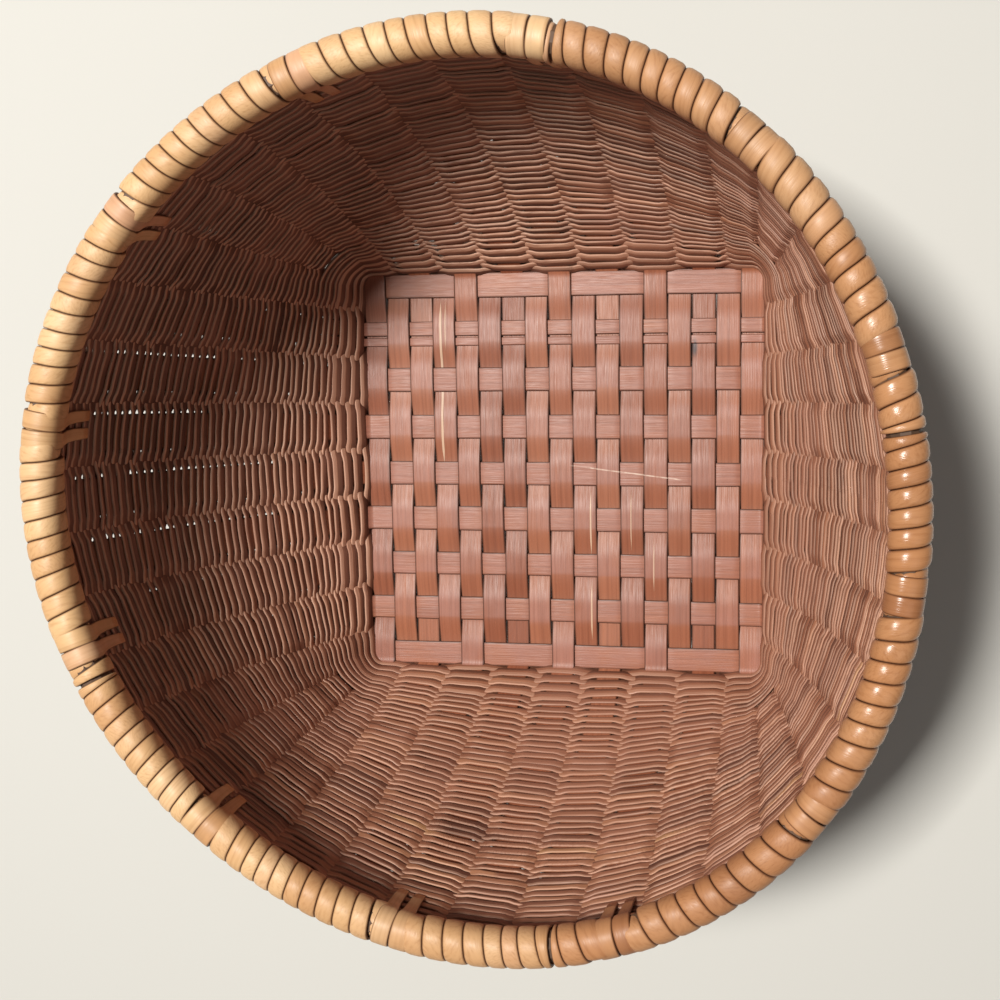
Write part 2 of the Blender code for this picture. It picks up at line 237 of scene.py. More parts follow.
# %% The skin of a ribbon
def loft(rings, outline, width, tone, proud, stain_and_shade, closed):
    """The vertices, faces, UV and per-point facts of a skin through rings of points, painted shade among
    them; open ends are capped.
    """
    count, sides = rings.shape[:2]
    spans = count if closed else count - 1
    steps = np.linalg.norm(np.diff(np.concatenate([rings, rings[:1]]).mean(1), axis=0), axis=1)
    along = np.concatenate([[0], np.cumsum(steps)])
    i, j = [grid.ravel() for grid in np.meshgrid(np.arange(spans), np.arange(sides), indexing="ij")]
    next_i, next_j = (i + 1) % count, (j + 1) % sides
    faces = np.stack([i * sides + j, i * sides + next_j, next_i * sides + next_j, next_i * sides + j], 1)
    across = np.append(outline[:, 0], outline[0, 0]) * width / 2
    uv = np.stack([across[j], along[i], across[j + 1], along[i],
                   across[j + 1], along[i + 1], across[j], along[i + 1]], 1).reshape(-1, 2)
    if not closed:
        low = np.arange(sides // 2 - 1)
        start = np.stack([low, sides - 1 - low, sides - 2 - low, low + 1], 1)
        caps = np.concatenate([start, start[:, ::-1] + (count - 1) * sides])
        faces = np.concatenate([faces, caps])
        uv = np.concatenate([uv, np.zeros((4 * len(caps), 2))])
    wear_and_shade = np.empty((count, sides, 4))
    for channel, value in enumerate((tone, proud, stain_and_shade)):
        wear_and_shade[..., channel] = np.broadcast_to(value, (count,))[:, None]
    wear_and_shade[..., 3] = np.abs(outline[:, 0])
    return rings.reshape(-1, 3), faces, uv, wear_and_shade.reshape(-1, 4)


# %% A ribbon along a path
def ribbon(path, across, width, thickness, outline, tone, proud, stain_and_shade=0.0, closed=False):
    """A strip along a path of points; width and thickness may change along it."""
    if closed:
        tangent = unit(np.roll(path, -1, 0) - np.roll(path, 1, 0))
    else:
        tangent = unit(np.gradient(path, axis=0))
    through = unit(np.cross(tangent, across))
    across = np.cross(through, tangent)
    outline_across, outline_through = outline[None, :, :1], outline[None, :, 1:]
    wide = np.broadcast_to(width, (len(path),))[:, None, None] / 2 * outline_across
    thick = np.broadcast_to(thickness, (len(path),))[:, None, None] / 2 * outline_through
    rings = path[:, None] + across[:, None] * wide + through[:, None] * thick
    return loft(rings, outline, float(np.mean(width)), tone, proud, stain_and_shade, closed)


# %% [markdown]
# A piece is one mesh made of one or more of these ribbons.  They could be separate objects, but the solid
# model has one node for a whole stake or a whole course of strands, and each piece here stands for one node.
# All the small unevenness of handwork comes from one source of random numbers that starts the same each time.

# %% Making a piece
def make_piece(name, ribbons, material, nodes):
    """A smooth mesh object of several ribbons, which stands for some of the frame's solids."""
    points, faces, uv, wear_and_shade = zip(*ribbons)
    starts = np.cumsum([0] + [len(item) for item in points[:-1]])
    mesh = bpy.data.meshes.new(name)
    faces = [item + start for item, start in zip(faces, starts)]
    mesh.from_pydata(np.concatenate(points), [], np.concatenate(faces))
    uv_map = mesh.uv_layers.new(name="strip")
    uv_map.data.foreach_set("uv", np.concatenate(uv).astype(np.float32).ravel())
    facts = mesh.attributes.new("wear_and_shade", "FLOAT_COLOR", "POINT")
    facts.data.foreach_set("color", np.concatenate(wear_and_shade).astype(np.float32).ravel())
    mesh.shade_smooth()
    mesh.materials.append(material)
    piece = bpy.data.objects.new(name, mesh)
    bpy.context.scene.collection.objects.link(piece)
    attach(piece, "root")
    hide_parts(*nodes)


SPLINT_SECTION = section(16, 0.35, 0.45)
STRAND_SECTION = section(12, 0.45, 0.55)
CANE_SECTION = section(16, 0.45, 0.60)
chance = np.random.default_rng(7)
for strip, points in (("splint", SPLINT_SECTION), ("strand", STRAND_SECTION), ("cane", CANE_SECTION)):
    print("points round the section of a", strip, "ribbon:", len(points))

# %% [markdown]
# ## Finishes
#
# Bamboo and cane are bundles of fibres, so both show fine streaks along their length.  A wave texture would
# give streaks that are too even.  One shared group stretches plain noise along the strip instead, using the
# strip's own UV map, whose second direction runs along the fibre.

# %% The fibre group
COARSE_STREAKS = (700, 9, 1)
FINE_STREAKS = (2600, 45, 1)
SEED_SPREAD = 91.7


def link(tree, pairs):
    """Join sockets in a node tree, given as pairs of outputs and inputs."""
    for output, target in pairs:
        tree.links.new(output, target)


def noise(tree, vector, scale, detail):
    """A noise texture read at a vector; its Fac output is used."""
    node = tree.nodes.new("ShaderNodeTexNoise")
    node.inputs["Scale"].default_value = scale
    node.inputs["Detail"].default_value = detail
    tree.links.new(vector, node.inputs["Vector"])
    return node.outputs["Fac"]


def fibre_group():
    """A node group that turns a strip's UV map into coarse and fine streaks along it."""
    tree = bpy.data.node_groups.new("fibre", "ShaderNodeTree")
    tree.interface.new_socket("UV", in_out="INPUT", socket_type="NodeSocketVector")
    tree.interface.new_socket("Seed", in_out="INPUT", socket_type="NodeSocketFloat")
    tree.interface.new_socket("Coarse", in_out="OUTPUT", socket_type="NodeSocketFloat")
    tree.interface.new_socket("Fine", in_out="OUTPUT", socket_type="NodeSocketFloat")
    entry = tree.nodes.new("NodeGroupInput")
    leave = tree.nodes.new("NodeGroupOutput")
    offset = tree.nodes.new("ShaderNodeCombineXYZ")
    for output, scale, detail in (("Coarse", COARSE_STREAKS, 3), ("Fine", FINE_STREAKS, 2)):
        stretch = tree.nodes.new("ShaderNodeMapping")
        stretch.name = output
        stretch.inputs["Scale"].default_value = scale
        link(tree, [(entry.outputs["UV"], stretch.inputs["Vector"]),
                    (offset.outputs["Vector"], stretch.inputs["Location"]),
                    (noise(tree, stretch.outputs["Vector"], 1.0, detail), leave.inputs[output])])
    spread = tree.nodes.new("ShaderNodeMath")
    spread.operation = "MULTIPLY"
    spread.inputs[1].default_value = SEED_SPREAD
    link(tree, [(entry.outputs["Seed"], spread.inputs[0]), (spread.outputs[0], offset.inputs["X"]),
                (spread.outputs[0], offset.inputs["Y"])])
    return tree


FIBRE = fibre_group()
print("fibre group:", len(FIBRE.nodes), "nodes")

# %% [markdown]
# The finishes are built up in layers: the colour of the strip, then its streaks, then dust on what stands
# proud, then dark edges, which are painted shade on the splints and strands and dirt in the seams of the
# cane.  One wide colour ramp could do it, but then dust and dark edges couldn't be set apart.  Each helper
# here adds one node, and a mask says where a layer lies.

# %% Parts of a finish
def ramp(tree, factor, stops):
    """A colour ramp through stops of (position, colour)."""
    node = tree.nodes.new("ShaderNodeValToRGB")
    elements = node.color_ramp.elements
    while len(elements) < len(stops):
        elements.new(0.5)
    for element, (position, colour) in zip(elements, stops):
        element.position = position
        element.color = (*colour, 1)
    tree.links.new(factor, node.inputs["Fac"])
    return node.outputs["Color"]


def level(tree, value, low, high, to_low=0.0, to_high=1.0):
    """A value stretched smoothly from one range to another."""
    node = tree.nodes.new("ShaderNodeMapRange")
    node.interpolation_type = "SMOOTHSTEP"
    for socket, number in (("From Min", low), ("From Max", high), ("To Min", to_low), ("To Max", to_high)):
        node.inputs[socket].default_value = number
    tree.links.new(value, node.inputs["Value"])
    return node.outputs["Result"]


def times(tree, first, second):
    """The product of two values; the second may be a number."""
    node = tree.nodes.new("ShaderNodeMath")
    node.operation = "MULTIPLY"
    tree.links.new(first, node.inputs[0])
    if isinstance(second, (int, float)):
        node.inputs[1].default_value = second
    else:
        tree.links.new(second, node.inputs[1])
    return node.outputs[0]


def mix(tree, factor, first, second, blend="MIX"):
    """Two colours mixed by a factor; either may be a plain colour."""
    node = tree.nodes.new("ShaderNodeMix")
    node.data_type = "RGBA"
    node.blend_type = blend
    for name, value in ((0, factor), (6, first), (7, second)):
        if isinstance(value, tuple):
            node.inputs[name].default_value = (*value, 1)
        elif isinstance(value, (int, float)):
            node.inputs[name].default_value = value
        else:
            tree.links.new(value, node.inputs[name])
    return node.outputs[2]


# %% The start and the end of a finish
def begin_finish(name):
    """A new material with its shader, the strip's per-point facts, painted shade among them, and its fibres.
    """
    material = bpy.data.materials.new(name)
    material.use_nodes = True
    tree = material.node_tree
    wear_and_shade = tree.nodes.new("ShaderNodeAttribute")
    wear_and_shade.attribute_name = "wear_and_shade"
    parts = tree.nodes.new("ShaderNodeSeparateColor")
    uv_map = tree.nodes.new("ShaderNodeUVMap")
    uv_map.uv_map = "strip"
    fibre = tree.nodes.new("ShaderNodeGroup")
    fibre.node_tree = FIBRE
    link(tree, [(wear_and_shade.outputs["Color"], parts.inputs["Color"]), (uv_map.outputs["UV"], fibre.inputs["UV"]),
                (parts.outputs["Red"], fibre.inputs["Seed"])])
    place = tree.nodes.new("ShaderNodeTexCoord").outputs["Object"]
    across = tree.nodes.new("ShaderNodeSeparateXYZ")
    link(tree, [(uv_map.outputs["UV"], across.inputs["Vector"])])
    facts = {"tone": parts.outputs["Red"], "proud": parts.outputs["Green"], "stain_and_shade": parts.outputs["Blue"],
             "edge": wear_and_shade.outputs["Alpha"], "across": across.outputs["X"], "coarse": fibre.outputs["Coarse"],
             "fine": fibre.outputs["Fine"], "place": place}
    return material, tree, facts


def end_finish(tree, colour, roughness, height, depth):
    """Feed the shader with a colour, a roughness and a height for its bump."""
    shader = tree.nodes["Principled BSDF"]
    bump = tree.nodes.new("ShaderNodeBump")
    bump.inputs["Distance"].default_value = depth
    link(tree, [(colour, shader.inputs["Base Color"]), (roughness, shader.inputs["Roughness"]),
                (height, bump.inputs["Height"]), (bump.outputs["Normal"], shader.inputs["Normal"])])


# %% [markdown]
# ** Base splints.** Old bamboo on the inside of a basket goes from tan to a warm orange brown. Years of dust
# lie on the parts that stand proud and turn them a dull pink, which also carries a painted sheen; on the long
# splints it is taken off where they slope away from the light.  Painted shade runs along the edges.  Two
# marks
# of use have places of their own: a fine scratch and a dark spot.  They could be painted by hand, but masks
# from the Object coordinates stay sharp at any size, and a Mapping node puts each in its place.

# %% A scratch and a spot
SCRATCH_START = BASE_MIDDLE + np.array([3.9, 4.2, 0]) * MM
SCRATCH_END = BASE_MIDDLE + np.array([63.3, -3.1, 0]) * MM
SPOT_MIDDLE = BASE_MIDDLE + np.array([68.5, 63.5, 0]) * MM
SPOT_SIZE = (2.2 * MM, 6.5 * MM, 1.0)


def scratch(tree, facts, start, end):
    """A mask of a fine broken scratch between two points of the base."""
    fade, half_width = 4 * MM, 0.55 * MM
    turned = tree.nodes.new("ShaderNodeMapping")
    turned.vector_type = "TEXTURE"
    turned.inputs["Location"].default_value = start
    turned.inputs["Rotation"].default_value = (0, 0, np.arctan2(end[1] - start[1], end[0] - start[0]))
    parts = tree.nodes.new("ShaderNodeSeparateXYZ")
    link(tree, [(facts["place"], turned.inputs["Vector"]),
                (turned.outputs["Vector"], parts.inputs["Vector"])])
    length = float(np.linalg.norm(end - start))
    along = times(tree, level(tree, parts.outputs["X"], 0, fade),
                  level(tree, parts.outputs["X"], length - fade, length, 1.0, 0.0))
    across = times(tree, level(tree, parts.outputs["Y"], -half_width, 0),
                   level(tree, parts.outputs["Y"], 0, half_width, 1.0, 0.0))
    broken = level(tree, noise(tree, facts["place"], 240, 2), 0.35, 0.55, 0.25, 1.0)
    return times(tree, times(tree, along, across), broken)


def spot(tree, facts, middle, size):
    """A mask of a long spot on the base, given by its middle and its half-lengths."""
    placed = tree.nodes.new("ShaderNodeMapping")
    placed.vector_type = "TEXTURE"
    placed.inputs["Location"].default_value = middle
    placed.inputs["Scale"].default_value = size
    distance = tree.nodes.new("ShaderNodeVectorMath")
    distance.operation = "LENGTH"
    link(tree, [(facts["place"], placed.inputs["Vector"]), (placed.outputs["Vector"], distance.inputs[0])])
    return level(tree, distance.outputs["Value"], 0.2, 1.0, 0.85, 0.0)


# %% The splints' finish
def splint_finish():
    """Aged bamboo splint: orange brown, with a dull polish, dust and painted sheen on what stands proud, and
    painted shade along its edges.
    """
    edge_shade_colour, spot_colour = (0.045, 0.016, 0.009), (0.035, 0.031, 0.038)
    scratch_colour = (0.72, 0.55, 0.45)
    material, tree, facts = begin_finish("bamboo_splint_aged")
    bare = ramp(tree, facts["tone"], [(0.0, (0.23, 0.066, 0.030)), (0.35, (0.32, 0.108, 0.054)),
                                      (0.75, (0.37, 0.140, 0.074)), (0.9, (0.29, 0.092, 0.044)),
                                      (1.0, (0.60, 0.39, 0.25))])
    dust = ramp(tree, facts["tone"], [(0.0, (0.30, 0.124, 0.087)), (0.5, (0.37, 0.158, 0.112)),
                                      (0.9, (0.31, 0.126, 0.084)), (1.0, (0.62, 0.42, 0.30))])
    # The dust mask: dust on what stands proud, which also carries the painted sheen, taken off on the long
    # splints where they slope away from the light.
    cloud = level(tree, noise(tree, facts["place"], 45, 4), 0.30, 0.60, 0.30, 1.0)
    dust_and_sheen = times(tree, level(tree, facts["proud"], 0.30, 0.75, 0.10, 1.0), cloud)
    colour = mix(tree, dust_and_sheen, bare, dust)
    streaks = ramp(tree, facts["coarse"], [(0.25, (0.70, 0.64, 0.60)), (0.5, (1.0, 1.0, 1.0)),
                                           (0.8, (1.20, 1.20, 1.18))])
    colour = mix(tree, 0.75, colour, streaks, "MULTIPLY")
    # Painted shade along both edges of each splint, for the dark gaps between the splints.
    edge_shade = times(tree, level(tree, facts["edge"], 0.82, 0.99), 0.88)
    colour = mix(tree, edge_shade, colour, edge_shade_colour)
    scratched = times(tree, scratch(tree, facts, SCRATCH_START, SCRATCH_END), facts["proud"])
    colour = mix(tree, scratched, colour, scratch_colour)
    spotted = times(tree, spot(tree, facts, SPOT_MIDDLE, SPOT_SIZE),
                    level(tree, noise(tree, facts["place"], 400, 3), 0.25, 0.5))
    colour = mix(tree, spotted, colour, spot_colour)
    end_finish(tree, colour, level(tree, facts["fine"], 0.2, 0.8, 0.38, 0.50), facts["fine"], 0.15 * MM)
    return material


SPLINT = splint_finish()


# %% [markdown]
# ** Strands.** The strands are split finer and are darker, browned by smoke and handling. Each has a tone of
# its own, from nearly black brown to a pale straw.  A painted highlight runs along its upper edge and painted
# shade along the lower, and the left and far walls, which the light misses, carry painted shade as a whole.
# Shading from the light alone would give pale edges too, but only on one side of the basket, so the edges are
# coloured by where they lie across the strand.

# %% The strands' finish
def strand_finish():
    """Smoke-browned bamboo strand with a painted highlight on its upper edge and painted shade on the lower
    one.
    """
    wall_shade_colour, highlight_colour = (0.055, 0.017, 0.010), (0.66, 0.40, 0.28)
    under_edge_shade_colour, dust_colour = (0.050, 0.015, 0.009), (0.40, 0.185, 0.125)
    material, tree, facts = begin_finish("bamboo_strand_aged")
    colour = ramp(tree, facts["tone"], [(0.0, (0.11, 0.039, 0.024)), (0.25, (0.25, 0.096, 0.054)),
                                        (0.6, (0.37, 0.157, 0.090)), (0.88, (0.48, 0.228, 0.125)),
                                        (1.0, (0.58, 0.320, 0.150))])
    streaks = ramp(tree, facts["coarse"], [(0.25, (0.60, 0.55, 0.50)), (0.5, (1.0, 1.0, 1.0)),
                                           (0.8, (1.25, 1.22, 1.15))])
    colour = mix(tree, 0.7, colour, streaks, "MULTIPLY")
    # Painted shade on the left and far walls, which the light misses: it darkens the body of each strand and
    # spares its upper edge.
    painted_wall_shade = times(tree, facts["stain_and_shade"], level(tree, facts["across"], 0.2 * MM, 0.7 * MM, 0.85, 0.0))
    colour = mix(tree, painted_wall_shade, colour, wall_shade_colour)
    # Painted highlight along the upper edge of the strand, stronger on the walls that carry painted shade.
    painted_light = times(tree, level(tree, facts["across"], 0.55 * MM, 1.05 * MM),
                   level(tree, facts["coarse"], 0.2, 0.6, 0.25, 0.85))
    painted_light = times(tree, painted_light, level(tree, facts["stain_and_shade"], 0.0, 1.0, 0.55, 1.0))
    colour = mix(tree, painted_light, colour, highlight_colour)
    # Painted shade along the lower edge of the strand, where the row above would cast its shadow.
    under_edge_shade = times(tree, level(tree, facts["across"], -1.2 * MM, -0.2 * MM, 1.0, 0.0),
                  level(tree, facts["stain_and_shade"], 0.0, 0.8, 0.62, 0.88))
    colour = mix(tree, under_edge_shade, colour, under_edge_shade_colour)
    cloud = level(tree, noise(tree, facts["place"], 18, 3), 0.35, 0.65, 0.0, 0.45)
    colour = mix(tree, times(tree, cloud, facts["proud"]), colour, dust_colour)
    end_finish(tree, colour, level(tree, facts["fine"], 0.2, 0.8, 0.42, 0.62), facts["fine"], 0.15 * MM)
    return material


STRAND = strand_finish()


# %% [markdown]
# **Cane.**  The rim's cane keeps its hard natural skin.  It is honey coloured, redder and darker where hands
# have held it, and dirt lies in the seams between its turns.  On the right, where it is held most, it is
# polished.  A second material for that side would end in a hard line, so the roughness falls off smoothly
# with the Object coordinate instead.

# %% The cane's finish
POLISH_START = 130 * MM
POLISH_FULL = 160 * MM


def cane_finish():
    """Honey-coloured cane skin with dark seams and stains, polished on the right."""
    blotch_colour = (0.50, 0.22, 0.09)
    seam_colour, stain_colour = (0.12, 0.042, 0.018), (0.10, 0.035, 0.016)
    material, tree, facts = begin_finish("cane_skin")
    fresh = ramp(tree, facts["tone"], [(0.0, (0.62, 0.35, 0.165)), (0.35, (0.74, 0.47, 0.235)),
                                       (0.7, (0.82, 0.56, 0.31)), (1.0, (0.72, 0.42, 0.25))])
    handled = ramp(tree, facts["tone"], [(0.0, (0.34, 0.145, 0.065)), (0.5, (0.45, 0.215, 0.098)),
                                         (1.0, (0.54, 0.28, 0.135))])
    blotch = level(tree, noise(tree, facts["place"], 30, 4), 0.35, 0.68, 0.0, 0.35)
    colour = mix(tree, facts["proud"], fresh, handled)
    colour = mix(tree, blotch, colour, blotch_colour)
    streaks = ramp(tree, facts["coarse"], [(0.25, (0.78, 0.70, 0.62)), (0.5, (1.0, 1.0, 1.0)),
                                           (0.85, (1.10, 1.10, 1.08))])
    colour = mix(tree, 0.8, colour, streaks, "MULTIPLY")
    colour = mix(tree, times(tree, level(tree, facts["edge"], 0.80, 1.0), 0.88), colour, seam_colour)
    stained = times(tree, facts["stain_and_shade"], level(tree, noise(tree, facts["place"], 140, 3), 0.35, 0.6))
    colour = mix(tree, stained, colour, stain_colour)
    matt = level(tree, facts["fine"], 0.2, 0.8, 0.40, 0.58)
    sides = tree.nodes.new("ShaderNodeSeparateXYZ")
    link(tree, [(facts["place"], sides.inputs["Vector"])])
    roughness = times(tree, matt, level(tree, sides.outputs["X"], POLISH_START, POLISH_FULL, 1.0, 0.5))
    end_finish(tree, colour, roughness, facts["fine"], 0.08 * MM)
    return material


CANE = cane_finish()
print("finishes:", SPLINT.name, STRAND.name, CANE.name)

# %% [markdown]
# ## The plaited base
#
# Seventeen long splints lie side by side and nine cross splints pass over and under them.  The rule for who
# is on top is the same as in the solid model: over and under by turns, except along the two borders, which
# cross three and pass under one.  The plait could be one tile set out by array modifiers, but the borders
# break the pattern, so each splint asks the rule.  Most of the bending is in the long splints.

# %% Who passes over
SPLINT_THICKNESS = 0.95 * MM
LONG_RISE = 1.05 * MM
CROSS_RISE = 0.30 * MM
BASE_LEVEL = SPLINT_THICKNESS / 2 + LONG_RISE


def passes_over(column, row):
    """Whether a long splint passes over a cross splint; both are counted from the middle."""
    if abs(row) == HALF_SIDE:
        return (column + COLUMN_COUNT // 2) % 4 == 0
    turned_up = (column + COLUMN_COUNT // 2) % 2 == 0
    return (row + HALF_SIDE) % 2 == (0 if turned_up else 1)


def woven(position, sides, flat):
    """The side taken at a position along a strip: +1 or -1 at each crossing, changing smoothly between."""
    lower = np.clip(np.floor(position).astype(int), 0, len(sides) - 2)
    part = np.clip((position - lower - flat) / (1 - 2 * flat), 0, 1)
    ease = part * part * (3 - 2 * part)
    return sides[lower] * (1 - ease) + sides[lower + 1] * ease


# %% [markdown]
# A stake's path has three stretches: down one wall, across the base and up the other wall.  The two bends at
# the edge of the base could be arcs, but the walls meet the base at a different slope at each stake.  Points
# averaged with their neighbours give a rounded bend whatever the slope is.

# %% Paths of the splints
STAKE_BEND = 1.5 * MM
STAKE_OVER = 1.0 * MM


def rounded(values, passes):
    """A path with its bends rounded off, its ends left where they are."""
    for _ in range(passes):
        values = values.copy()
        values[1:-1] = (values[:-2] + 2 * values[1:-1] + values[2:]) / 4
    return values


def up_the_wall(place, steps=46):
    """Points up one stake, from just above the base to under the rim, with the direction round the basket."""
    height = np.linspace(FOOT_LEVEL + STAKE_BEND, WALL_TOP + STAKE_OVER, steps)
    point, around, _, _ = wall_frame(np.full(steps, float(place)), height)
    return point, around, height


def splint_ribbon(flat_path, flat_proud, across, width, first_place, last_place, tone, whole=1.0):
    """A splint across the base which turns up at both ends, or at neither if the places are None.

    A strip split from a splint is given the share of the whole width that it keeps up the wall.
    """
    path, sideways, proud = flat_path, np.tile(across, (len(flat_path), 1)), flat_proud
    wide = np.full(len(path), width)
    if first_place is not None:
        for place, at_start in ((first_place, True), (last_place, False)):
            point, around, height = up_the_wall(place)
            around = around * np.sign(around @ across)[:, None]
            rise = (height - FOOT_LEVEL) / (WALL_TOP - FOOT_LEVEL)
            taper = width + (STAKE_TIP_WIDTH * whole - width) * np.clip(3 * rise, 0, 1)
            pieces = (point, around, np.full(len(point), 0.3), taper)
            pieces = [item[::-1] for item in pieces] if at_start else pieces
            joined = []
            for old, new in zip((path, sideways, proud, wide), pieces):
                joined.append(np.concatenate([new, old] if at_start else [old, new]))
            path, sideways, proud, wide = joined
        path = rounded(path, 2)
    wobble = 0.25 * MM * np.sin(np.linspace(0, chance.uniform(8, 20), len(path)) + chance.uniform(0, 6))
    return ribbon(path, sideways, wide + wobble, SPLINT_THICKNESS, SPLINT_SECTION, tone, proud)


# %% [markdown]
# On some of the long splints a narrow sliver of the dark skin has split off and shows the pale bamboo.  A
# mask in the finish would do from afar, but a real sliver has edges that catch the light, so each is a thin
# flat ribbon that lies on its splint.  The table gives the splint, counted from the middle, then in
# millimetres how far aside the sliver lies, where it starts and ends along the splint, and its width.

# %% Pale slivers
SLIVERS = ((-5, -1.6, 89, 4, 1.3), (-5, 0.9, 89, 62, 0.5), (1, 3.0, -8, -43, 0.9), (1, 3.2, -56, -88, 0.9),
           (3, -0.5, -8, -40, 0.5), (4, -1.0, -34, -62, 0.6))
SLIVER_THICKNESS = 0.15 * MM


def slivers(column, y, path):
    """The slivers of one long splint, tapered at both ends."""
    shapes = []
    for sliver_column, aside, top, bottom, width in SLIVERS:
        if sliver_column == column:
            part = path[(y < top * MM) & (y > bottom * MM)] + np.array([aside * MM, 0, SPLINT_THICKNESS / 2])
            from_end = np.minimum(np.arange(len(part)), np.arange(len(part))[::-1])
            across = np.tile([1.0, 0, 0], (len(part), 1))
            wide = width * MM * np.clip(from_end / 5, 0.2, 1)
            shapes.append(ribbon(part, across, wide, SLIVER_THICKNESS, SPLINT_SECTION, tone=1.0, proud=0.9))
    return shapes


# %% [markdown]
# The long splints run from the near wall to the far wall.  Every other one turns up into both walls as a
# stake, and the others end at the edge of the base as fillers.  One splint could be copied sixteen times, but
# copies would show the same faded stretches and the same stretches of painted sheen, so each is made anew.
# How far the flat part reaches past the last crossing is a share of the width of the strip that it crosses
# there.

# %% Long splints
LONG_FLAT = 0.16
SPLINT_MARKS = np.arange(-5, 6)
STAKE_END, FILLER_END = 0.45, 0.60


def long_splints():
    """The seventeen long splints: every other one turns up into the far and near walls."""
    half = COLUMN_COUNT // 2
    made = {True: 0, False: 0}
    for column in range(-half, half + 1):
        turned_up = (column + half) % 2 == 0
        end = HALF_SIDE * ROW_PITCH + (STAKE_END if turned_up else FILLER_END) * ROW_WIDTH
        y = np.linspace(-end, end, 150)
        made[turned_up] += 1
        rows = range(-HALF_SIDE, HALF_SIDE + 1)
        sides = np.array([1.0 if passes_over(column, row) else -1.0 for row in rows])
        side = woven(y / ROW_PITCH + HALF_SIDE, sides, LONG_FLAT)
        x = column * COLUMN_PITCH + chance.uniform(-0.1, 0.1) * MM + 0 * y
        # This sets, by a random share along the splint, how much painted sheen is taken off the slopes that
        # face away from the light, where the bare orange brown then shows.
        painted_light = np.interp(y / ROW_PITCH, SPLINT_MARKS, chance.uniform(0.2, 1.0, len(SPLINT_MARKS)))
        faded = np.interp(y / ROW_PITCH, SPLINT_MARKS, chance.uniform(0.0, 0.30, len(SPLINT_MARKS)))
        proud = 0.5 + 0.5 * side - faded - painted_light * np.clip(np.gradient(side, y) * 12 * MM, 0, 1)
        # A painted loss of sheen where a stake's last float starts to rise into the far wall.
        if turned_up:
            proud = proud - 0.55 * np.clip((y / ROW_PITCH - 3.4) / 0.2, 0, 1)
        path = BASE_MIDDLE + np.stack([x, y, BASE_LEVEL + LONG_RISE * side], -1)
        places = (3 * STAKES_PER_QUARTER + column // 2, STAKES_PER_QUARTER - column // 2)
        first, last = places if turned_up else (None, None)
        width = COLUMN_WIDTH + chance.uniform(-0.15, 0.05) * MM
        shape = splint_ribbon(path, proud, np.array([1.0, 0, 0]), width, first, last,
                              chance.uniform(0.1, 0.85))
        name = f"long_stake_{made[True]}" if turned_up else f"base_filler_{made[False]}"
        make_piece(f"{name}_splint", [shape, *slivers(column, y, path)], SPLINT, [name])
    print("long splints that turn up:", made[True], "fillers:", made[False])


long_splints()

# %% [markdown]
# The cross splints all turn up into the left and right walls.  They lie flatter than the long ones.  One of
# them has split lengthwise with age.  A dark line in its finish would fake that, but the two strips have
# moved apart and each has a shade of its own, so both are made, each given by how far aside it lies and its
# share of the width.

# %% Cross splints
CROSS_FLAT = 0.30
SPLIT_ROW = 3
SPLIT_SHARES = ((2.3 * MM, 0.62), (-4.4 * MM, 0.34))
WHOLE_SHARES = ((0.0, 1.0),)


def cross_splints():
    """The nine cross splints, which all turn up into the left and right walls; one has split lengthwise."""
    half = COLUMN_COUNT // 2
    end = half * COLUMN_PITCH + STAKE_END * COLUMN_WIDTH
    x = np.linspace(-end, end, 240)
    for row in range(-HALF_SIDE, HALF_SIDE + 1):
        columns = range(-half, half + 1)
        sides = np.array([-1.0 if passes_over(column, row) else 1.0 for column in columns])
        side = woven(x / COLUMN_PITCH + half, sides, CROSS_FLAT)
        middle = row * ROW_PITCH + chance.uniform(-0.4, 0.4) * MM
        width = ROW_WIDTH + chance.uniform(-0.6, 0.4) * MM
        shapes = []
        for aside, share in SPLIT_SHARES if row == SPLIT_ROW else WHOLE_SHARES:
            path = BASE_MIDDLE + np.stack([x, middle + aside + 0 * x, BASE_LEVEL + CROSS_RISE * side], -1)
            right = row + aside / ROW_PITCH
            left = 2 * STAKES_PER_QUARTER - right
            shapes.append(splint_ribbon(path, 0.62 + 0.38 * side, np.array([0, -1.0, 0]), width * share,
                                        left, right, chance.uniform(0.2, 0.8), share))
        name = f"cross_stake_{row + HALF_SIDE + 1}"
        make_piece(f"{name}_splint", shapes, SPLINT, [name])


cross_splints()

# %% [markdown]
# Between the outermost stakes of two walls the corner would gape, so a pointed stake is pushed in at each
# corner once the first rows are woven.  It could be pared from a splint, but it has no stretch across the
# base, so it is a ribbon of its own that broadens from its point upward.

# %% Corner stakes
def corner_stakes(steps=60):
    """The four pointed stakes that are pushed in at the corners."""
    for corner in range(4):
        place = STAKES_PER_QUARTER * (corner + 0.5)
        height = np.linspace(CORNER_STAKE_START, WALL_TOP + STAKE_OVER, steps)
        point, around, _, _ = wall_frame(np.full(steps, place), height)
        rise = (height - CORNER_STAKE_START) / (WALL_TOP - CORNER_STAKE_START)
        width = CORNER_STAKE_WIDTH + (STAKE_TIP_WIDTH - CORNER_STAKE_WIDTH) * rise
        shape = ribbon(point, -around, width, SPLINT_THICKNESS, SPLINT_SECTION, 0.9 * chance.random(), 0.3)
        name = f"corner_stake_{corner + 1}"
        make_piece(f"{name}_splint", [shape], SPLINT, [name])


corner_stakes()

# %% [markdown]
# ## The woven walls
#
# The strands go round in rows.  At each stake a row passes inside or outside, and the next row does the
# opposite, so from inside only every other row shows on a stake and the bands look like brickwork.  The first
# few rows over the base are broader strips.  Rows set out evenly by height would stand further apart where
# the wall leans out, so they are spaced evenly up its slope.

# %% Where the rows lie
BROAD_ROWS = 7
FINE_ROWS = 80
BROAD_SHARE = 1.5
ROW_COUNT = BROAD_ROWS + FINE_ROWS
COURSES = 12


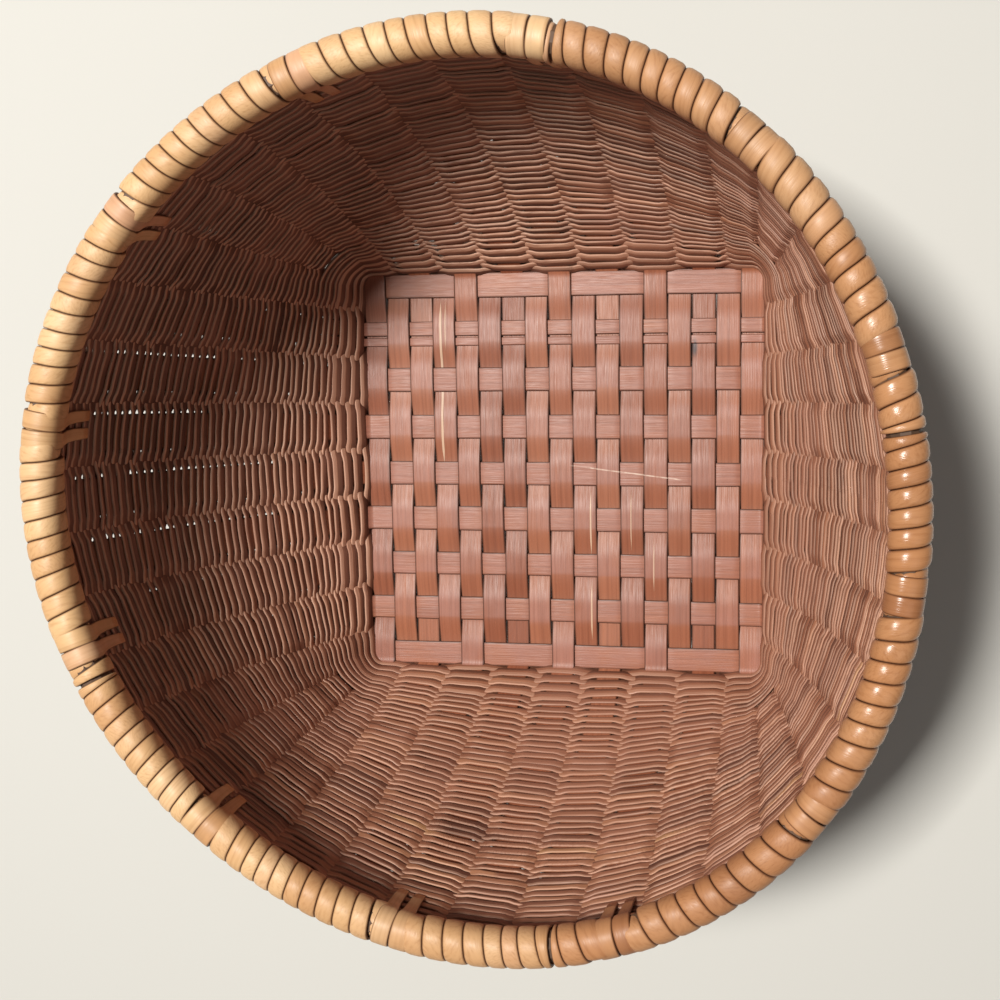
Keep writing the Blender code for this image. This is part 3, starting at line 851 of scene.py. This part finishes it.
def row_spacing():
    """The heights of the rows' middles, and the room that each has up the slope."""
    height = np.linspace(WEAVE_START, WALL_TOP, 300)
    slope = wall_point(np.arange(4)[:, None] * float(STAKES_PER_QUARTER), height[None])
    distance = np.append(0, np.cumsum(np.linalg.norm(np.diff(slope, axis=1), axis=2).mean(0)))
    share = np.where(np.arange(ROW_COUNT) < BROAD_ROWS, BROAD_SHARE, 1.0)
    room = share / share.sum() * distance[-1]
    middle = np.cumsum(room) - room / 2
    return np.interp(middle, distance, height), room


row_height, row_room = row_spacing()
print("rows:", ROW_COUNT, "room up the slope (mm):", np.round(row_room[[0, -1]] / MM, 2))

# %% [markdown]
# A hand-woven row wanders: neighbours wander together, and each has a little wobble of its own.  In some
# places the weave has worked open beside a stake, and small points of light come through.  A transparent
# spot would only look right from one side, so the strands are narrower there.  The table gives the place,
# the lowest and the highest share of the wall's rise, how many of the rows have it, and how much they lose.

# %% How the rows wander and part
STEPS_PER_STAKE = 12
turns_of_place = np.arange(STAKE_COUNT * STEPS_PER_STAKE) / STEPS_PER_STAKE


def rise_of(height):
    """A height as a share of the way from the first row to the top of the wall."""
    return (height - WEAVE_START) / (WALL_TOP - WEAVE_START)


def wander(place, height):
    """How far the rows drift up or down together, fading at the base and the rim."""
    angle = place / STAKE_COUNT * 2 * pi
    drift = (0.9 * np.sin(3 * angle + 40 * height) + 0.6 * np.sin(7 * angle - 55 * height + 1)
             + 0.35 * np.sin(17 * angle + 90 * height + 2))
    rise = rise_of(height)
    return drift * MM * np.clip(4 * rise * (1 - rise), 0, 1) * 0.9


LIGHT_GAPS = ((17.67, 0.50, 0.97, 0.8, 0.35), (18.67, 0.50, 0.92, 0.9, 0.35), (19.67, 0.28, 0.95, 0.8, 0.35),
              (20.67, 0.28, 0.92, 0.8, 0.38), (15.33, 0.69, 0.78, 1.0, 0.50), (13.33, 0.05, 0.09, 1.0, 0.8),
              (12.67, 0.11, 0.15, 1.0, 0.8), (12.33, 0.06, 0.15, 0.8, 0.8), (8.33, 0.11, 0.15, 1.0, 0.8),
              (7.33, 0.10, 0.14, 1.0, 0.8), (6.67, 0.04, 0.08, 1.0, 0.8))
GAP_REACH = 0.07


def light_gaps(place, height):
    """A share of the full width: under 1 beside the stakes where the weave has worked open."""
    share = np.ones(len(place))
    for gap_place, low, high, often, depth in LIGHT_GAPS:
        if low <= rise_of(height) <= high and chance.random() < often:
            share -= depth * chance.uniform(0.75, 1.25) * np.exp(-((place - gap_place) / GAP_REACH) ** 2)
    return share


# %% [markdown]
# A strand has a side to take at each stake and a tone of its own.  No strand is long enough to go all the way
# round, so another takes over along the row, and a few patches of the wall are darker or paler as a whole;
# the broad dark ones on the left and far walls are painted shade.  Tones could come from noise in the finish,
# but that would run across the strands instead of along them.  The table gives each patch's place and rise,
# its reach both ways and its shift of tone.

# %% The sides and the tones of a row
def strand_sides(row):
    """The side of the wall that a row takes at each stake: +1 outside, -1 inside.

    Below the point of a corner stake there is nothing to pass, so the row stays on the side it was on.
    """
    sides = np.where((np.arange(STAKE_COUNT + 1) + row) % 2 == 0, -1.0, 1.0)
    if row_height[row] < CORNER_STAKE_START:
        corners = np.arange(4) * STAKES_PER_QUARTER + STAKES_PER_QUARTER // 2
        sides[corners] = sides[corners - 1]
    return sides


# The patches at places 17.5 and 9 are painted shade on the left and far walls; those at 1 and 39 darken the
# lower right wall, and the rest change the tone of strands round the near wall.
TONE_AND_SHADE_PATCHES = ((17.5, 0.60, 5.5, 0.50, -0.12), (31.6, 0.66, 1.3, 0.06, 0.45), (28.3, 0.64, 0.5, 0.05, 0.40),
                (29.4, 0.62, 0.6, 0.04, -0.50), (34.5, 0.45, 1.0, 0.10, -0.25), (36.5, 0.80, 1.5, 0.10, 0.20),
                (9.0, 0.30, 4.0, 0.40, -0.26), (1.0, 0.30, 4.5, 0.40, -0.24), (39.0, 0.30, 4.5, 0.40, -0.22))


def strand_tones(height):
    """Tones along one row: a strand lasts part of the way round, and then another takes over."""
    tones = np.empty(len(turns_of_place))
    start = chance.integers(0, len(tones))
    cuts = np.sort(chance.integers(0, len(tones), chance.integers(1, 4)))
    for first, last in zip(np.append(0, cuts), np.append(cuts, len(tones))):
        tones[first:last] = np.clip(chance.normal(0.46, 0.23), 0.02, 0.88)
    tones = np.roll(tones, start)
    rise = rise_of(height)
    for patch_place, patch_rise, wide, high, shift in TONE_AND_SHADE_PATCHES:
        near = ((turns_of_place - patch_place) / wide) ** 2 + ((rise - patch_rise) / high) ** 2
        tones += shift * np.exp(-near) * chance.uniform(0.4, 1.2)
    return np.clip(tones, 0, 1)


# %% [markdown]
# A strand lies broad and flat over a stake.  Where it slips between two stakes it is broader still, or light
# would come through between the rows.  Each leans in or out a little, which gives the wall its uneven light.
# An array of one modelled wave would be quicker, but every row here has another length.

# %% One row of strand
STRAND_THICKNESS = 1.1 * MM
STRAND_SIDE_STEP = 1.05 * MM
STRAND_FLAT = 0.29
STRAND_WAVES = (0.9, 2.1, 4.4)
ON_STAKE = (1.3, 1.95)
BETWEEN_STAKES = 2.35
LEAN_SHARE = 0.3
LEAN_SPREAD = 0.10
FLOOR_GAP = 0.42 * MM
SHADED_WALL_PLACE = 17


def strand_width(row, place, side, height):
    """A row's width: its share of the room on a stake and between stakes, clear of the floor."""
    share = chance.uniform(*ON_STAKE) if row >= BROAD_ROWS else ON_STAKE[1]
    broad, crossing = row_room[row] * share, row_room[row] * BETWEEN_STAKES
    on_stake = np.abs(side) ** 8
    wide = (crossing + (broad - crossing) * on_stake) * light_gaps(place, row_height[row])
    return np.minimum(wide, 2 * (height - FLOOR_GAP))


def strand_row(row):
    """One row of strand, all the way round the basket."""
    place = turns_of_place
    side = woven(place, strand_sides(row), STRAND_FLAT)
    phase = chance.uniform(0, 2 * pi, len(STRAND_WAVES))
    own = sum(np.sin(place * wave + shift) for wave, shift in zip(STRAND_WAVES, phase)) * 0.13 * MM
    height = row_height[row] + wander(place, row_height[row]) + own
    height = np.clip(height, WEAVE_START, WALL_TOP)
    point, _, up, out = wall_frame(place, height)
    path = point + out * (STRAND_SIDE_STEP * side * (0.45 + 0.55 * side ** 2))[:, None]
    wide = strand_width(row, place, side, height)
    slope = np.arccos(np.clip(up[:, 2], 0, 1))
    tilt = -LEAN_SHARE * slope + chance.normal(0, LEAN_SPREAD) + 0.05 * np.sin(place * 1.3 + phase[0])
    across = up * np.cos(tilt)[:, None] + out * np.sin(tilt)[:, None]
    thick = STRAND_THICKNESS * chance.uniform(0.85, 1.15)
    proud = 0.5 - 0.5 * side
    # How much painted wall shade a strand carries: most at the far end of the left wall, less over the far
    # wall and toward the near left corner, none on the right and near walls.
    wall_shade = np.clip(np.cos((place - SHADED_WALL_PLACE) / STAKE_COUNT * 2 * pi), 0, 1)
    tone = strand_tones(row_height[row])
    return ribbon(path, across, wide, thick, STRAND_SECTION, tone, proud, wall_shade, closed=True)


# %% The courses of strands
def strand_courses():
    """The rows, gathered into the courses of the frame."""
    step = (WALL_TOP - WEAVE_START) / COURSES
    course_of_row = np.clip(((row_height - WEAVE_START) / step).astype(int), 0, COURSES - 1)
    for course in range(COURSES):
        rows = [strand_row(row) for row in range(ROW_COUNT) if course_of_row[row] == course]
        make_piece(f"strands_{course + 1}", rows, STRAND, [f"weaver_course_{course + 1}"])
    print("rows in each course:", np.bincount(course_of_row).tolist())


strand_courses()

# %% [markdown]
# ## The bound rim
#
# The hoop is a round rod.  The cane hides all of it but what shows between two lengths of cane, so a new mesh
# would be wasted on it, and the solid that the frame holds stays with a plain finish.

# %% The hoop
def plain_finish(name, colour):
    """Plain wood with a little mottling."""
    material = bpy.data.materials.new(name)
    material.use_nodes = True
    tree = material.node_tree
    place = tree.nodes.new("ShaderNodeTexCoord").outputs["Object"]
    mottle = noise(tree, place, 90, 5)
    dark = tuple(part * 0.6 for part in colour)
    shade = ramp(tree, mottle, [(0.3, dark), (0.7, colour)])
    end_finish(tree, shade, level(tree, mottle, 0.3, 0.7, 0.5, 0.7), mottle, 0.2 * MM)
    return material


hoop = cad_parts["rim_hoop"]
hoop.material_slots[0].material = plain_finish("hoop_wood", (0.13, 0.07, 0.04))
print("hoop keeps its solid:", hoop.name)

# %% [markdown]
# Four lengths of split cane are wound round the hoop.  A ring of equal copies would look machine-made,
# because each turn is a little broader or narrower than its neighbour.  So the winder here first lays down
# where each turn begins and then winds one strip from turn to turn.  Where a stitch comes, the winding sinks
# to make room for it.  The joins are given in degrees, and each length has a shade of its own.

# %% Round the rim
WRAP_JOINS = (10, 76.8, 205, 281.5)
STITCH_COUNT = 12
STITCH_START = radians(20)
STITCH_ROOM = 7.7 * MM
STITCH_RAMP = 1.2 * MM
RIM_SQUARENESS = 0.88
LENGTH_SHADES = (0.55, 0.50, 0.0, 0.05, 0.55)
HELD_MOST = radians(-32)
stitch_angles = STITCH_START + np.arange(STITCH_COUNT) * 2 * pi / STITCH_COUNT


def rim_directions(angle):
    """The hoop's middle points with the directions along it and level outward from it."""
    step = 0.01
    along = unit(rim_point(angle + step) - rim_point(angle - step))
    return rim_point(angle), along, np.cross(along, np.array([0, 0, 1.0]))


def squared(value):
    """A sine or cosine swollen a little, so that a circle turns into a rounded square: the rim's section."""
    return np.sign(value) * np.abs(value) ** RIM_SQUARENESS


def handling(angle):
    """How much hands have browned the rim at an angle, from 0 to 1; each length of cane has its own shade."""
    angle = np.mod(angle, 2 * pi)
    shade = np.take(LENGTH_SHADES, np.searchsorted(np.radians(WRAP_JOINS), angle))
    shade = shade + 0.7 * shade * np.clip((angle - radians(45)) / radians(15), 0, 1)
    return np.clip(shade + 0.6 * np.clip(np.cos(angle - HELD_MOST), 0, 1), 0, 1)


def near_stitch(angle):
    """1 at a stitch and 0 away from it, changing over a few millimetres."""
    apart = np.abs((angle[..., None] - stitch_angles + pi) % (2 * pi) - pi).min(-1) * RIM_RADIUS
    return np.clip((STITCH_ROOM - apart) / STITCH_RAMP, 0, 1)


# %% [markdown]
# The outer face of the cane is rounded, and more so on the right, where the turns are plump.  A flat strip
# with a bump texture would lose that in the outline, so the crown is in the mesh.

# %% Turns of cane
WRAP_TURNS = (25, 49, 31, 32)
STEPS_PER_TURN = 32
TURN_GAP = 0.0006
CANE_CROWN = 0.85 * MM
PLUMPEST = radians(10)
STITCH_SINK = 1.5 * MM
cane_middle = HOOP_RADIUS + CANE_THICKNESS / 2


def wrap_ribbon(start, end, turns):
    """One length of cane wound round the hoop between two angles; the gap between turns is an angle too."""
    share = chance.uniform(0.82, 1.18, turns)
    bounds = start + np.append(0, np.cumsum(share / share.sum())) * (end - start)
    tone_of_turn = np.clip(chance.normal(0.5, 0.24, turns + 1), 0, 1)
    turn = np.linspace(-0.8, turns - 0.2, turns * STEPS_PER_TURN)
    left = np.interp(turn, np.arange(turns + 1), bounds)
    right = np.interp(turn + 1, np.arange(turns + 1), bounds) - TURN_GAP
    middle, half = (left + right) / 2, (right - left) / 2
    across, through = CANE_SECTION[None, :, 0], CANE_SECTION[None, :, 1]
    angle = middle[:, None] + across * half[:, None]
    sunk = near_stitch(middle) * STITCH_SINK
    plump = CANE_CROWN * (0.45 + 0.55 * np.clip(np.cos(middle - PLUMPEST), 0, 1))
    crown = plump[:, None] * ((1 - across ** 2) * (through > 0))
    radius = cane_middle - sunk[:, None] + through * CANE_THICKNESS / 2 + crown
    winding = (-turn * 2 * pi - pi / 2)[:, None]
    point, _, outward = rim_directions(angle)
    rings = point + outward * (radius * squared(np.cos(winding)))[..., None]
    rings[..., 2] += radius * squared(np.sin(winding))
    tone = np.interp(turn, np.arange(turns + 1), tone_of_turn)
    return loft(rings, CANE_SECTION, 8 * MM, tone, handling(middle), 0.0, False)


def rim_wraps():
    """The four lengths of cane, from join to join, with a little of the hoop left bare between them."""
    gap = 0.6 * MM / RIM_RADIUS
    for index, turns in enumerate(WRAP_TURNS):
        start = radians(WRAP_JOINS[index])
        end = radians(WRAP_JOINS[(index + 1) % len(WRAP_JOINS)])
        end = end if end > start else end + 2 * pi
        shape = wrap_ribbon(start + gap, end - gap, turns)
        make_piece(f"rim_cane_{index + 1}", [shape], CANE, [f"rim_wrap_{index + 1}"])


rim_wraps()
print("turns of cane:", sum(WRAP_TURNS), "in", len(WRAP_TURNS), "lengths")

# %% [markdown]
# ## The stitches
#
# Twelve times round the rim, two turns of the cane reach down and pass through the weave, and so tie the hoop
# to the wall.  Each turn is a strip that comes out of the wall on the inside, climbs over the hoop and goes
# back into the wall on the outside, a little narrower at both ends.  A bent strip could be modelled once and
# copied round, but the rim isn't quite round and the wall isn't equally steep, so each is laid by its angle.

# %% One strip of a stitch
STITCH_REACH = 15.0 * MM
STITCH_SPACING = 7.3 * MM
STITCH_SLANT = 1.5 * MM
STITCH_LIFT = 0.15 * MM
FOOT_DROPS = np.array([0.0, 0.35, 0.7, 1.0])
FOOT_DEPTHS = np.array([2.9, 2.8, 2.6, 1.2]) * MM


def stitch_ribbon(angle, slant):
    """One strip of a stitch; slant is how far its foot leans along the rim."""
    rise = np.linspace(pi * 1.12, -pi * 0.12, 30)
    middle, along, outward = rim_directions(np.full(len(rise), angle))
    lap = cane_middle + STITCH_LIFT
    arch = middle + outward * (lap * squared(np.cos(rise)))[:, None]
    arch[:, 2] += lap * squared(np.sin(rise))
    feet = []
    for side in (-1, 1):
        place = (angle + side * slant / RIM_RADIUS) / (2 * pi) * STAKE_COUNT
        height = WALL_TOP - STITCH_REACH * FOOT_DROPS
        point, _, _, out = wall_frame(np.full(len(height), place), height)
        feet.append(point + side * out * FOOT_DEPTHS[:, None])
    path = rounded(np.concatenate([feet[0][::-1], arch, feet[1]]), 2)
    reach = np.minimum(np.arange(len(path)), np.arange(len(path))[::-1]) / 8
    width = (4.6 + 2.6 * np.clip(reach, 0, 1)) * MM
    across = np.tile(along[0], (len(path), 1))
    return ribbon(path, across, width, CANE_THICKNESS, CANE_SECTION, chance.random(), handling(angle), 0.1)


# %% The twelve stitches
def rim_stitches():
    """The twelve stitches, each of two strips side by side."""
    apart = STITCH_SPACING / 2 / RIM_RADIUS
    for index, angle in enumerate(stitch_angles):
        shapes = [stitch_ribbon(angle + aside, STITCH_SLANT) for aside in (-apart, apart)]
        make_piece(f"stitch_{index + 1}", shapes, CANE, [f"rim_stitch_{index + 1}"])


rim_stitches()
print("stitches:", STITCH_COUNT, "of two strips each")

# %% [markdown]
# ## The floor
#
# The floor is plain and pale and reaches well past the edges of the view, so that nothing competes with the
# basket.  A backdrop that curves up would do for a view from the side, but from above it would never show.

# %% Floor
bpy.ops.object.select_all(action="DESELECT")
bpy.ops.mesh.primitive_plane_add(size=8, location=(0, 0, 0))
floor = bpy.context.object
floor.name = "floor"
paint = bpy.data.materials.new("pale_floor")
paint.use_nodes = True
paint.node_tree.nodes["Principled BSDF"].inputs["Base Color"].default_value = (0.66, 0.66, 0.63, 1)
paint.node_tree.nodes["Principled BSDF"].inputs["Roughness"].default_value = 0.8
floor.data.materials.append(paint)
